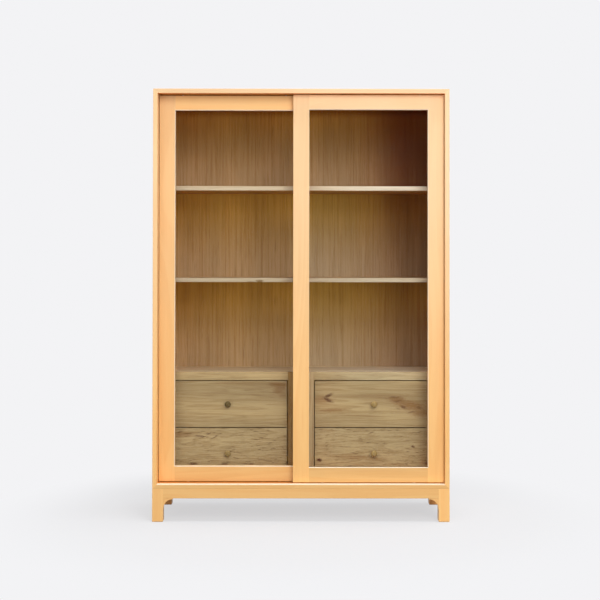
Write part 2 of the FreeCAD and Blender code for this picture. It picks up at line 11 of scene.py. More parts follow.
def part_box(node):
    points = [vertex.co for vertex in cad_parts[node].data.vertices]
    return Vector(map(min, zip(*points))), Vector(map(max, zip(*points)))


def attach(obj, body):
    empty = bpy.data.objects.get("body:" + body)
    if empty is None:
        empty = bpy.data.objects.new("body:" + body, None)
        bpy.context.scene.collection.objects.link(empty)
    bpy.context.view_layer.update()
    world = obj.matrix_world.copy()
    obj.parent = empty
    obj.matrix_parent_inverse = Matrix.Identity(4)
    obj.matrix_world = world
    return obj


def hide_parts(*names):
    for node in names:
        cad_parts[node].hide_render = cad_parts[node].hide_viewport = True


# Display cabinet: smooth peach-coloured case and sliding glass doors, brown oak veneer inside,
# pale oak shelves, oak drawer fronts with turned knobs. Metres, Z up, front towards -Y.

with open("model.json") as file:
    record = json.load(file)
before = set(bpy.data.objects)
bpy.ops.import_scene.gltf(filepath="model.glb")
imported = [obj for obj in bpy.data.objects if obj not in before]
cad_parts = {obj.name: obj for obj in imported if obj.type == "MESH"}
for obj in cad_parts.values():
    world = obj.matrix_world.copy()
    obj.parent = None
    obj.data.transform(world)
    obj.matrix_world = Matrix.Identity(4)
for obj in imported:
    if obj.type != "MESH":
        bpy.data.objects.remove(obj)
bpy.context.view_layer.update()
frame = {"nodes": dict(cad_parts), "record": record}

# Finishes. Colours are linear. Each wood has an early and a late tone, the colour of its pores, the
# colours of its painted shade and of its painted highlight, how tightly its figure, fibres and pores
# lie along and across the grain, how many rings it has, how strongly each layer shows, its roughness
# where it is smudged least and most, its relief and its shine. Painted shade lies on the edges inside
# the gaps, under the top and on other faces that are mostly turned away from the light; on the
# shelves' broad faces it is partly painted shade and partly their darker veneer.

WOODS = {
    "outer_wood": {
        "early": (0.925, 0.545, 0.205),
        "late": (0.890, 0.485, 0.165),
        "pore_colour": (0.66, 0.33, 0.12),
        "hidden": (0.62, 0.18, 0.022),
        "arris": (1.0, 0.87, 0.66),
        "figure": (0.8, 9.0),
        "fibre_figure": (5.0, 260.0),
        "pore_figure": (28.0, 900.0),
        "ring_count": 8.0,
        "rings": 0.60,
        "fibres": 0.55,
        "pores": 0.10,
        "cloud": 0.03,
        "roughness": (0.36, 0.50),
        "relief": 0.05,
        "shine": 0.4,
    },
    "inner_veneer": {
        "early": (0.36, 0.185, 0.055),
        "late": (0.27, 0.120, 0.028),
        "pore_colour": (0.13, 0.050, 0.012),
        "hidden": (0.30, 0.150, 0.040),
        "arris": (0.50, 0.32, 0.13),
        "figure": (0.5, 30.0),
        "fibre_figure": (2.0, 170.0),
        "pore_figure": (12.0, 420.0),
        "ring_count": 8.0,
        "rings": 0.35,
        "fibres": 0.85,
        "pores": 0.40,
        "cloud": 0.10,
        "roughness": (0.40, 0.56),
        "relief": 0.10,
        "shine": 0.04,
    },
    "drawer_oak": {
        "early": (0.430, 0.310, 0.150),
        "late": (0.310, 0.195, 0.080),
        "pore_colour": (0.14, 0.065, 0.022),
        "hidden": (0.10, 0.05, 0.018),
        "arris": (0.56, 0.42, 0.23),
        "figure": (1.6, 34.0),
        "fibre_figure": (7.0, 220.0),
        "pore_figure": (26.0, 420.0),
        "ring_count": 6.0,
        "rings": 0.50,
        "fibres": 0.62,
        "pores": 0.32,
        "cloud": 0.18,
        "roughness": (0.44, 0.60),
        "relief": 0.12,
        "shine": 0.3,
    },
    "lively_oak": {
        "early": (0.450, 0.330, 0.165),
        "late": (0.280, 0.175, 0.070),
        "pore_colour": (0.12, 0.055, 0.018),
        "hidden": (0.10, 0.05, 0.018),
        "arris": (0.56, 0.42, 0.23),
        "figure": (5.0, 42.0),
        "fibre_figure": (12.0, 220.0),
        "pore_figure": (42.0, 340.0),
        "ring_count": 4.0,
        "rings": 0.45,
        "fibres": 0.65,
        "pores": 0.75,
        "cloud": 0.12,
        "roughness": (0.44, 0.60),
        "relief": 0.15,
        "shine": 0.3,
    },
    "shelf_oak": {
        "early": (0.560, 0.440, 0.290),
        "late": (0.470, 0.350, 0.210),
        "pore_colour": (0.24, 0.14, 0.065),
        "hidden": (0.38, 0.165, 0.024),
        "arris": (0.70, 0.58, 0.42),
        "figure": (1.0, 20.0),
        "fibre_figure": (5.0, 260.0),
        "pore_figure": (28.0, 600.0),
        "ring_count": 9.0,
        "rings": 0.45,
        "fibres": 0.50,
        "pores": 0.30,
        "cloud": 0.10,
        "roughness": (0.36, 0.50),
        "relief": 0.10,
        "shine": 0.4,
    },
    "knob_oak": {
        "early": (0.460, 0.318, 0.130),
        "late": (0.340, 0.220, 0.078),
        "pore_colour": (0.16, 0.08, 0.03),
        "hidden": (0.36, 0.21, 0.07),
        "arris": (0.54, 0.38, 0.18),
        "figure": (5.0, 60.0),
        "fibre_figure": (5.0, 260.0),
        "pore_figure": (28.0, 900.0),
        "ring_count": 5.0,
        "rings": 0.55,
        "fibres": 0.45,
        "pores": 0.30,
        "cloud": 0.08,
        "roughness": (0.46, 0.60),
        "relief": 0.08,
        "shine": 0.05,
    },
}

# The frame round the drawers is of the same oak, without their knots
WOODS["frame_oak"] = WOODS["drawer_oak"]

# Painted light on the outer wood, paler and whiter from the floor to the top, where more light falls:
# the colour that it turns to, how far it has turned at the top, and between which heights
PAINTED_TOP_LIGHT = (0.96, 0.70, 0.45)
PAINTED_TOP_SHARE = 0.42
PAINTED_TOP_HEIGHTS = (0.25, 1.45)

# Painted light and sheen on the back veneer: lighter and yellower at the head of each bay, against
# the shade under the shelf, and a painted grey sheen at its foot: height of the lowest bay's foot,
# height of a bay, the tint at a bay's head, middle and foot, and between which shares of its height
# the head's and the foot's tints come in
BAY_FOOT, BAY_HEIGHT = 0.590, 0.385
BAY_PAINTED_LIGHT = ((1.58, 1.64, 0.85), (1.0, 1.11, 1.22), (1.17, 1.48, 2.50))
BAY_HEAD_REACH, BAY_FOOT_REACH = (0.45, 0.98), (0.60, 0.02)

# The rest of its painted light and shade. Each reach is where a change begins and where it is full,
# in metres, and where a change differs from foot to head, its share is given at two heights. The bays
# are painted paler at their sides than in the middle, against the stiles' shade, and in the lower two
# than in the upper one; the right half has a painted grey reflection, its right end a deep painted
# shadow, and the panel has painted shade close under the top.
BAY_MIDDLE = 0.29
EDGE_REACH, EDGE_PAINTED_LIGHT = (0.06, 0.20), (1.04, 1.05, 1.08)
LOW_REACH, LOW_PAINTED_LIGHT = (1.42, 1.32), (1.07, 1.07, 1.08)
GREY_REACH, GREY_HEIGHTS, GREY_SHARES = (-0.02, 0.06), (1.32, 1.42), (1.0, 0.2)
GREY_PAINTED_REFLECTION = (1.0, 1.10, 1.26)
END_REACH, END_HEIGHTS, END_SHARES = (0.15, 0.455), (0.85, 1.55), (0.48, 0.88)
END_PAINTED_SHADOW = (0.28, 0.08, 0.0)
HEAD_REACH, HEAD_PAINTED_SHADE = (1.668, 1.716), (0.50, 0.33, 0.10)

# Painted shade and light on the centre post: redder and darker on its left, in the doors' shadow, and
# paler on its right: where the tone turns, the two tints, and how far from the middle no piece takes
# them
POST_REACH, POST_EDGE = (-0.020, 0.020), 0.10
POST_PAINTED_LIGHT = ((0.86, 0.68, 0.42), (1.20, 1.20, 1.30))

# Painted reflection on the shelves, the deck and its rails: a whitish veil, paler to the right
RIGHT_REACH, RIGHT_PAINTED_LIGHT = (-0.05, 0.35), (1.10, 1.18, 1.36)

# Turning each grain direction onto X
GRAIN_TURNS = {"x": (0.0, 0.0, 0.0), "y": (0.0, 0.0, -math.pi / 2), "z": (0.0, math.pi / 2, 0.0)}

# Knots, flecks and reddish streaks in the drawer fronts: x, z, half length, half height, tilt in
# degrees, depth
KNOT_COLOUR = (0.075, 0.014, 0.001)
STREAK_COLOUR = (0.205, 0.086, 0.018)
DRAWER_KNOTS = (
    (-0.500, 0.345, 0.018, 0.0035, 8.0, 0.60),
    (-0.470, 0.338, 0.024, 0.0030, 4.0, 0.50),
    (-0.417, 0.328, 0.026, 0.0045, -3.0, 0.75),
    (-0.380, 0.338, 0.016, 0.0032, 30.0, 0.60),
    (-0.359, 0.322, 0.020, 0.0035, 25.0, 0.60),
    (-0.446, 0.213, 0.026, 0.0080, 0.0, 0.80),
    (-0.318, 0.213, 0.018, 0.0070, 0.0, 0.60),
    (-0.205, 0.213, 0.014, 0.0060, 4.0, 0.50),
    (0.112, 0.4945, 0.030, 0.0085, 26.0, 0.82),
    (0.112, 0.4775, 0.030, 0.0085, -26.0, 0.82),
    (0.386, 0.489, 0.024, 0.0050, -4.0, 0.40),
    (0.400, 0.472, 0.022, 0.0050, 10.0, 0.40),
    (0.424, 0.448, 0.018, 0.0080, -20.0, 0.62),
    (0.402, 0.442, 0.012, 0.0040, -10.0, 0.35),
    (0.458, 0.428, 0.026, 0.0050, 15.0, 0.38),
    (0.490, 0.446, 0.020, 0.0060, -12.0, 0.42),
    (0.076, 0.229, 0.014, 0.0095, 0.0, 1.00),
    (0.464, 0.285, 0.011, 0.0065, -15.0, 0.85),
    (0.291, 0.342, 0.016, 0.0036, 18.0, 0.60),
    (0.520, 0.215, 0.011, 0.0075, 0.0, 0.70),
)
DRAWER_STREAKS = (
    (-0.095, 0.541, 0.062, 0.0110, -2.0, 0.85),
    (-0.088, 0.519, 0.040, 0.0230, 10.0, 0.62),
    (-0.076, 0.498, 0.026, 0.0150, 0.0, 0.40),
    (-0.230, 0.545, 0.180, 0.0060, -1.0, 0.38),
    (-0.250, 0.500, 0.120, 0.0060, -2.0, 0.30),
    (0.290, 0.494, 0.240, 0.0110, 1.0, 0.45),
    (0.400, 0.478, 0.060, 0.0220, -10.0, 0.75),
    (0.455, 0.455, 0.090, 0.0300, -12.0, 0.70),
    (0.500, 0.425, 0.060, 0.0260, 0.0, 0.65),
    (0.130, 0.436, 0.080, 0.0110, 3.0, 0.55),
    (0.085, 0.478, 0.060, 0.0220, 0.0, 0.50),
    (0.260, 0.412, 0.160, 0.0050, -2.0, 0.30),
    (-0.490, 0.335, 0.090, 0.0160, 4.0, 0.45),
    (0.230, 0.240, 0.150, 0.0120, -3.0, 0.40),
)

# A knot in the front edge of the lower shelf, at its lower corner
SHELF_KNOT_COLOUR = (0.20, 0.105, 0.020)
SHELF_KNOTS = (
    (-0.172, 0.9690, 0.020, 0.0085, 0.0, 0.95),
    (-0.205, 0.9660, 0.030, 0.0040, -6.0, 0.50),
)

# Width of a leaf of the inner veneer, and the step of its board's number from leaf to leaf
VENEER_LEAF, LEAF_STEP = 0.165, 0.37

# The figure of a board. Scales are along and across the grain, and ranges are where a pattern begins
# and is full. A board's number moves it along by these steps, and its lines stray to each side.
BOARD_STEPS = (3.7, 5.3, 7.1)
WANDER, WANDER_SCALE = 0.0022, (11.0, 45.0, 45.0)
RING_RISE, RING_FALL = (0.0, 0.75), (1.0, 0.86)
FIBRE_RANGE, FIBRE_RELIEF = (0.3, 0.7), 0.4
PORE_RANGE = (0.56, 0.68)
PORED_RINGS, PORED_SHARES = (0.1, 0.9), (0.35, 1.0)
CLOUD_SCALE, CLOUD_RANGE = (1.6, 9.0, 9.0), (0.25, 0.75)

# The edge of a knot: its grit, and where it begins and is full
GRIT_SCALE, GRIT_STRENGTH = (160.0, 10.0, 420.0), 1.1
KNOT_EDGE = (1.1, 0.25)

# Smudges and dust on any surface, and how many smudges lie on a metre of wood
SMUDGE_RANGE = (0.3, 0.7)
DUST_SCALE, DUST_RANGE = 90.0, (0.55, 0.8)
WOOD_SMUDGES = 4.0

# Depth of a relief at full strength
RELIEF_DEPTH = 0.0006

# Coated and moulded finishes: colour when clean and under dust, grain, smudges on a metre, roughness
# where it is smudged least and most, relief and shine
SATIN_FINISHES = {
    # The tracks' coat is darker than the case: partly its colour, partly painted shade above and
    # under the doors
    "track_metal": {
        "clean": (0.60, 0.215, 0.035),
        "dusty": (0.50, 0.215, 0.055),
        "grain_detail": 3.0,
        "grain_scale": 1400.0,
        "smudges": 12.0,
        "roughness": (0.40, 0.55),
        "relief": 0.06,
        "shine": 0.15,
    },
    "wheel_nylon": {
        "clean": (0.72, 0.70, 0.62),
        "dusty": (0.48, 0.45, 0.38),
        "grain_detail": 4.0,
        "grain_scale": 900.0,
        "smudges": 60.0,
        "roughness": (0.42, 0.62),
        "relief": 0.1,
        "shine": 0.5,
    },
}
STEEL = {
    "light": (0.60, 0.60, 0.60),
    "dark": (0.42, 0.42, 0.43),
    "dusty": (0.45, 0.42, 0.38),
    "dust_share": 0.25,
    "strokes": (500.0, 500.0, 60.0),
    "smudges": 9.0,
    "roughness": (0.24, 0.40),
    "relief": 0.08,
    "shine": 0.5,
}
GLASS = {"clean": (0.955, 0.97, 0.955), "dusty": (0.90, 0.91, 0.89), "smudges": 3.0, "ior": 1.09}

# Sockets of the node that mixes two colours, and the middle of a noise's range
MIX_FACTOR, MIX_A, MIX_B, MIX_RESULT = 0, 6, 7, 2
NOISE_MIDDLE = 0.5


def put(tree, kind, sockets=None, **settings):
    """A node of the tree, with its settings made and its sockets filled or linked."""
    node = tree.nodes.new(f"ShaderNode{kind}")
    for name, value in settings.items():
        setattr(node, name, value)
    for key, value in (sockets or {}).items():
        socket = node.inputs[key]
        if isinstance(value, bpy.types.NodeSocket):
            tree.links.new(value, socket)
        else:
            socket.default_value = (*value, 1.0) if socket.type == "RGBA" else value
    return node


def maths(tree, operation, first, second=0.0):
    """One step of arithmetic on values."""
    return put(tree, "Math", {0: first, 1: second}, operation=operation).outputs[0]


def spread(tree, value, low, high, start=0.0, end=1.0):
    """A value taken smoothly from one range to another and held there."""
    sockets = {"Value": value, "From Min": low, "From Max": high, "To Min": start, "To Max": end}
    return put(tree, "MapRange", sockets, interpolation_type="SMOOTHSTEP").outputs["Result"]


def blend_colours(tree, factor, first, second, mode="MIX"):
    """Two colours mixed by a factor."""
    sockets = {MIX_FACTOR: factor, MIX_A: first, MIX_B: second}
    return put(tree, "Mix", sockets, data_type="RGBA", blend_type=mode).outputs[MIX_RESULT]


def stained(tree, share, colour, tint):
    """A colour multiplied by a tint, as far as the share says."""
    return blend_colours(tree, share, colour, tint, "MULTIPLY")


def vector_maths(tree, operation, first, second):
    """One step of arithmetic on vectors."""
    return put(tree, "VectorMath", {0: first, 1: second}, operation=operation).outputs[0]


def stretched(tree, vector, scale):
    """A vector scaled by its own amount on each axis."""
    return vector_maths(tree, "MULTIPLY", vector, scale)


def length_of(tree, vector):
    """How long a vector is."""
    return put(tree, "VectorMath", {0: vector}, operation="LENGTH").outputs["Value"]


def coordinate(tree, vector, axis):
    """One coordinate of a vector."""
    return put(tree, "SeparateXYZ", {0: vector}).outputs[axis]


def noise(tree, vector, detail=2.0, roughness=0.5, scale=1.0, distortion=0.0):
    """Soft noise between about 0 and 1."""
    sockets = {
        "Vector": vector,
        "Scale": scale,
        "Detail": detail,
        "Roughness": roughness,
        "Distortion": distortion,
    }
    return put(tree, "TexNoise", sockets).outputs["Fac"]


def centred(tree, value):
    """A noise about 0 instead of about its middle."""
    return maths(tree, "SUBTRACT", value, NOISE_MIDDLE)


def effect_group(name, inputs, outputs):
    """An empty node group with its named sockets, and its two end nodes."""
    tree = bpy.data.node_groups.new(name, "ShaderNodeTree")
    for way, sockets in (("INPUT", inputs), ("OUTPUT", outputs)):
        for label, kind in sockets:
            tree.interface.new_socket(label, in_out=way, socket_type=f"NodeSocket{kind}")
    return tree, tree.nodes.new("NodeGroupInput").outputs, tree.nodes.new("NodeGroupOutput").inputs


def make_wood_figure():
    """Rings, fibres, pores and cloudy tone of a board whose grain runs along X."""
    inputs = [
        ("Vector", "Vector"),
        ("Board", "Float"),
        ("Figure", "Vector"),
        ("Fibre Figure", "Vector"),
        ("Pore Figure", "Vector"),
        ("Ring Count", "Float"),
    ]
    names = ("Rings", "Fibres", "Pores", "Cloud", "Relief")
    tree, given, wanted = effect_group("wood_figure", inputs, [(name, "Float") for name in names])
    seat = put(tree, "CombineXYZ", {axis: given["Board"] for axis in "XYZ"}).outputs[0]
    moved = vector_maths(tree, "ADD", given["Vector"], stretched(tree, seat, BOARD_STEPS))
    wave = centred(tree, noise(tree, stretched(tree, moved, WANDER_SCALE)))
    wave = maths(tree, "MULTIPLY", wave, WANDER * 2)
    aside = put(tree, "CombineXYZ", {"Y": wave, "Z": wave}).outputs[0]
    wavy = vector_maths(tree, "ADD", moved, aside)
    field = noise(tree, stretched(tree, wavy, given["Figure"]), detail=1.0, distortion=0.2)
    saw = maths(tree, "FRACT", maths(tree, "MULTIPLY", field, given["Ring Count"]))
    rings = maths(tree, "MULTIPLY", spread(tree, saw, *RING_RISE), spread(tree, saw, *RING_FALL))
    fibres = noise(tree, stretched(tree, wavy, given["Fibre Figure"]), detail=4.0, roughness=0.65)
    fibres = spread(tree, fibres, *FIBRE_RANGE)
    dashes = noise(tree, stretched(tree, wavy, given["Pore Figure"]))
    pored = spread(tree, rings, *PORED_RINGS, *PORED_SHARES)
    pores = maths(tree, "MULTIPLY", spread(tree, dashes, *PORE_RANGE), pored)
    cloud = noise(tree, stretched(tree, moved, CLOUD_SCALE), detail=3.0)
    relief = maths(tree, "SUBTRACT", maths(tree, "MULTIPLY", fibres, FIBRE_RELIEF), pores)
    for name, value in zip(names, (rings, fibres, pores, cloud, relief)):
        tree.links.new(value, wanted[name])
    return tree


def make_knot():
    """A soft-edged dark mark, tilted in the plane of the front."""
    inputs = [("Vector", "Vector"), ("Centre", "Vector"), ("Tilt", "Vector"), ("Size", "Vector")]
    tree, given, wanted = effect_group("knot", inputs, [("Mask", "Float")])
    sockets = {
        "Vector": given["Vector"],
        "Location": given["Centre"],
        "Rotation": given["Tilt"],
        "Scale": given["Size"],
    }
    local = put(tree, "Mapping", sockets, vector_type="TEXTURE").outputs[0]
    grit = centred(tree, noise(tree, stretched(tree, given["Vector"], GRIT_SCALE), detail=3.0))
    edge = maths(tree, "ADD", length_of(tree, local), maths(tree, "MULTIPLY", grit, GRIT_STRENGTH))
    tree.links.new(spread(tree, edge, *KNOT_EDGE), wanted["Mask"])
    return tree


def make_handling():
    """Faint smudges and dust that vary the gloss and the tone of any surface."""
    inputs = [("Vector", "Vector"), ("Smudges", "Float")]
    tree, given, wanted = effect_group("handling", inputs, [("Gloss", "Float"), ("Dust", "Float")])
    place, smudges = given["Vector"], given["Smudges"]
    gloss = noise(tree, place, detail=4.0, roughness=0.6, scale=smudges, distortion=0.4)
    specks = noise(tree, place, detail=5.0, roughness=0.75, scale=DUST_SCALE)
    tree.links.new(spread(tree, gloss, *SMUDGE_RANGE), wanted["Gloss"])
    tree.links.new(spread(tree, specks, *DUST_RANGE), wanted["Dust"])
    return tree


WOOD_FIGURE = make_wood_figure()
KNOT = make_knot()
HANDLING = make_handling()


def use(tree, group, sockets):
    """Place an effect group in a material."""
    return put(tree, "Group", sockets, node_tree=group).outputs


def handled(tree, place, smudges):
    """The smudges and dust of a surface, with so many smudges on a metre."""
    return use(tree, HANDLING, {"Vector": place, "Smudges": smudges})


def found(tree, kind):
    """The node of a kind that a new material comes with."""
    return next(node for node in tree.nodes if node.type == kind)


def new_material(name):
    """A material with one surface shader, and its object coordinates."""
    material = bpy.data.materials.new(name)
    material.use_nodes = True
    tree = material.node_tree
    place = put(tree, "TexCoord").outputs["Object"]
    return material, tree, found(tree, "BSDF_PRINCIPLED"), place


def mark(tree, name):
    """A number that the piece's faces carry."""
    return put(tree, "Attribute", attribute_name=name).outputs["Fac"]


def surface(tree, shader, look, colour, gloss, relief):
    """Feed a shader its varying colour, roughness and relief, and the look's shine."""
    tree.links.new(colour, shader.inputs["Base Color"])
    tree.links.new(spread(tree, gloss, 0.0, 1.0, *look["roughness"]), shader.inputs["Roughness"])
    sockets = {"Height": relief, "Strength": look["relief"], "Distance": RELIEF_DEPTH}
    tree.links.new(put(tree, "Bump", sockets).outputs[0], shader.inputs["Normal"])
    shader.inputs["Specular IOR Level"].default_value = look["shine"]


def marked(tree, place, colour, marks, dark):
    """Take the colour to a darker one at each of the marks."""
    total = None
    for x, z, half_length, half_height, tilt, depth in marks:
        sockets = {
            "Vector": place,
            "Centre": (x, 0.0, z),
            "Tilt": (0.0, -math.radians(tilt), 0.0),
            "Size": (half_length, 1.0, half_height),
        }
        mask = maths(tree, "MULTIPLY", use(tree, KNOT, sockets)["Mask"], depth)
        total = mask if total is None else maths(tree, "MAXIMUM", total, mask)
    return blend_colours(tree, total, colour, dark)


def back_painted_light(tree, place, colour):
    """Painted light, shade and sheen on the back veneer's inner face, up and across the bays."""
    across, height = coordinate(tree, place, "X"), coordinate(tree, place, "Z")
    bays = maths(tree, "DIVIDE", maths(tree, "SUBTRACT", height, BAY_FOOT), BAY_HEIGHT)
    rise = maths(tree, "FRACT", bays)
    head, middle, foot = BAY_PAINTED_LIGHT
    upper = blend_colours(tree, spread(tree, rise, *BAY_HEAD_REACH), middle, head)
    whole = blend_colours(tree, spread(tree, rise, *BAY_FOOT_REACH), upper, foot)
    aside = maths(tree, "SUBTRACT", maths(tree, "ABSOLUTE", across), BAY_MIDDLE)
    aside = maths(tree, "ABSOLUTE", aside)
    grey = spread(tree, height, *GREY_HEIGHTS, *GREY_SHARES)
    end = spread(tree, height, *END_HEIGHTS, *END_SHARES)
    tinted = stained(tree, 1.0, colour, whole)
    for share, tint in (
        (spread(tree, aside, *EDGE_REACH), EDGE_PAINTED_LIGHT),
        (spread(tree, height, *LOW_REACH), LOW_PAINTED_LIGHT),
        (maths(tree, "MULTIPLY", grey, spread(tree, across, *GREY_REACH)), GREY_PAINTED_REFLECTION),
        (maths(tree, "MULTIPLY", end, spread(tree, across, *END_REACH)), END_PAINTED_SHADOW),
        (spread(tree, height, *HEAD_REACH), HEAD_PAINTED_SHADE),
    ):
        tinted = stained(tree, share, tinted, tint)
    return blend_colours(tree, mark(tree, "painted_light_share"), colour, tinted)


def post_painted_light(tree, place, colour):
    """Painted shade on the centre post's left and painted light on its right."""
    across = coordinate(tree, place, "X")
    left, right = POST_PAINTED_LIGHT
    tint = blend_colours(tree, spread(tree, across, *POST_REACH), left, right)
    beyond = maths(tree, "GREATER_THAN", maths(tree, "ABSOLUTE", across), POST_EDGE)
    return blend_colours(tree, beyond, stained(tree, 1.0, colour, tint), colour)


def painted_light_by_height(tree, place, colour):
    """Painted light: the outer wood paler from the floor to the top."""
    share = spread(tree, coordinate(tree, place, "Z"), *PAINTED_TOP_HEIGHTS, 0.0, PAINTED_TOP_SHARE)
    share = maths(tree, "MULTIPLY", share, mark(tree, "painted_light_share"))
    return blend_colours(tree, share, colour, PAINTED_TOP_LIGHT)


def painted_light_to_right(tree, place, colour):
    """Painted reflection: a paler tone towards the right, on the pieces that have it."""
    share = spread(tree, coordinate(tree, place, "X"), *RIGHT_REACH)
    return stained(tree, maths(tree, "MULTIPLY", share, mark(tree, "painted_light_share")), colour, RIGHT_PAINTED_LIGHT)


def board_figure(tree, place, name, axis):
    """The figure of a board of one of the woods, with its grain along an axis."""
    board = mark(tree, "board")
    if name == "inner_veneer":
        leaf = maths(tree, "FLOOR", maths(tree, "DIVIDE", coordinate(tree, place, "X"), VENEER_LEAF))
        board = maths(tree, "ADD", board, maths(tree, "MULTIPLY", leaf, LEAF_STEP))
    vector = put(tree, "Mapping", {"Vector": place, "Rotation": GRAIN_TURNS[axis]}).outputs[0]
    sockets = {"Vector": vector, "Board": board, "Ring Count": WOODS[name]["ring_count"]}
    for key in ("figure", "fibre_figure", "pore_figure"):
        along, over = WOODS[name][key]
        sockets[key.replace("_", " ").title()] = (along, over, over)
    return use(tree, WOOD_FIGURE, sockets)


def grown_colour(tree, place, name, figure):
    """The colour of rings, fibres and pores, and the outer wood's painted light."""
    look = WOODS[name]
    rings = maths(tree, "MULTIPLY", figure["Rings"], look["rings"])
    fibres = maths(tree, "MULTIPLY", centred(tree, figure["Fibres"]), look["fibres"])
    colour = blend_colours(tree, maths(tree, "ADD", rings, fibres), look["early"], look["late"])
    if name == "outer_wood":
        colour = painted_light_by_height(tree, place, colour)
    pores = maths(tree, "MULTIPLY", figure["Pores"], look["pores"])
    return blend_colours(tree, pores, colour, look["pore_colour"])


def own_colour(tree, place, name, axis, colour):
    """The marks, and the painted light and shade, that only some of the woods have."""
    if name in ("drawer_oak", "lively_oak"):
        colour = marked(tree, place, colour, DRAWER_STREAKS, STREAK_COLOUR)
        colour = marked(tree, place, colour, DRAWER_KNOTS, KNOT_COLOUR)
    if name == "shelf_oak":
        colour = marked(tree, place, colour, SHELF_KNOTS, SHELF_KNOT_COLOUR)
    if name == "inner_veneer" and axis == "z":
        colour = back_painted_light(tree, place, colour)
    if name == "frame_oak" and axis == "z":
        colour = post_painted_light(tree, place, colour)
    if name in ("frame_oak", "shelf_oak") and axis == "x":
        colour = painted_light_to_right(tree, place, colour)
    return colour


@cache
def wood(name, axis):
    """One of the woods, with its grain along an axis, made once."""
    look = WOODS[name]
    material, tree, shader, place = new_material(f"{name}_along_{axis}")
    figure = board_figure(tree, place, name, axis)
    colour = grown_colour(tree, place, name, figure)
    colour = own_colour(tree, place, name, axis, colour)
    # Painted shade on faces turned away and painted highlight on some edges and faces, by their
    # shares
    for share in ("hidden", "arris"):
        colour = blend_colours(tree, mark(tree, share), colour, look[share])
    tone = spread(tree, figure["Cloud"], *CLOUD_RANGE, 1.0 - look["cloud"], 1.0 + look["cloud"])
    tone = maths(tree, "MULTIPLY", tone, mark(tree, "tone"))
    colour = put(tree, "HueSaturation", {"Color": colour, "Value": tone}).outputs[0]
    gloss = handled(tree, place, WOOD_SMUDGES)["Gloss"]
    surface(tree, shader, look, colour, gloss, figure["Relief"])
    return material


def plated_steel():
    """Brushed and plated steel of the pins, axles and screws."""
    material, tree, shader, place = new_material("pin_steel")
    handling = handled(tree, place, STEEL["smudges"])
    strokes = noise(tree, stretched(tree, place, STEEL["strokes"]), detail=4.0, roughness=0.65)
    dust = maths(tree, "MULTIPLY", handling["Dust"], STEEL["dust_share"])
    colour = blend_colours(tree, strokes, STEEL["light"], STEEL["dark"])
    colour = blend_colours(tree, dust, colour, STEEL["dusty"])
    surface(tree, shader, STEEL, colour, handling["Gloss"], strokes)
    shader.inputs["Metallic"].default_value = 1.0
    return material


def satin_finish(name):
    """Powder coating of the tracks or moulded nylon of the wheels."""
    look = SATIN_FINISHES[name]
    material, tree, shader, place = new_material(name)
    handling = handled(tree, place, look["smudges"])
    grain = noise(tree, place, detail=look["grain_detail"], scale=look["grain_scale"])
    colour = blend_colours(tree, handling["Dust"], look["clean"], look["dusty"])
    surface(tree, shader, look, colour, handling["Gloss"], grain)
    return material


def window_glass():
    """Clear pane: lamps and soft light pass straight through, the eye sees it as glass."""
    material, tree, shader, place = new_material("clear_glass")
    dust = handled(tree, place, GLASS["smudges"])["Dust"]
    colour = blend_colours(tree, dust, GLASS["clean"], GLASS["dusty"])
    tree.links.new(colour, shader.inputs["Base Color"])
    shader.inputs["Roughness"].default_value = 0.0
    shader.inputs["IOR"].default_value = GLASS["ior"]
    shader.inputs["Transmission Weight"].default_value = 1.0
    rays = put(tree, "LightPath").outputs
    unseen = maths(tree, "MAXIMUM", rays["Is Shadow Ray"], rays["Is Diffuse Ray"])
    clear = put(tree, "BsdfTransparent").outputs[0]
    mixed = put(tree, "MixShader", {0: unseen, 1: shader.outputs[0], 2: clear}).outputs[0]
    tree.links.new(mixed, found(tree, "OUTPUT_MATERIAL").inputs["Surface"])
    return material


# Pieces. Their edges are eased a little, more at the seams of the base and most round the panes.
ARRIS = 0.0008
FINE_ARRIS = 0.0005
SEAM_ARRIS = 0.0016
PANE_ARRIS = 0.0024
ARRIS_STEPS = 3
SHORTEST_ARRIS = 0.006

# How close two points are to be one, the turns at which faces are flat, sharp or square to each
# other, and how nearly an edge runs along a direction or a face looks that way
MERGE = 0.00001
FLAT = math.radians(0.5)
SHARP = math.radians(26.0)
SQUARE = (math.radians(80.0), math.radians(100.0))
ALONG = 0.999
FACING = 0.9
WAYS = {
    "+x": Vector((1, 0, 0)),
    "-x": Vector((-1, 0, 0)),
    "+y": Vector((0, 1, 0)),
    "-y": Vector((0, -1, 0)),
    "+z": Vector((0, 0, 1)),
    "-z": Vector((0, 0, -1)),
}
AXES = {"x": WAYS["+x"], "y": WAYS["+y"], "z": WAYS["+z"]}

# What the faces of wood carry: the board's number, its tone, how much of its wood's painted light it
# takes, and the shares of painted shade and of painted highlight
FACE_MARKS = ("board", "tone", "painted_light_share", "hidden", "arris")

# Board numbers lie between 0 and this one, to this many places
BOARD_RANGE, BOARD_PLACES = 9.0, 3

# Weight that keeps flat faces flat beside eased edges
FLAT_WEIGHT = 100

# How bright the drawer fronts, the doors' parts and the wood inside are. The doors' tones are partly
# painted light and shade: the left door's top rail lighter, the bottom rails darker
INNER_TONE = 0.8
FRONT_TONES = {
    ("upper", "left"): 1.04,
    ("upper", "right"): 1.04,
    ("lower", "left"): 1.06,
    ("lower", "right"): 1.09,
}
DOOR_TONES = {
    "left_door": {"left_stile": 0.98, "right_stile": 1.0, "top_rail": 1.12, "bottom_rail": 0.92},
    "right_door": {"left_stile": 1.03, "right_stile": 1.05, "top_rail": 1.06, "bottom_rail": 0.88},
}
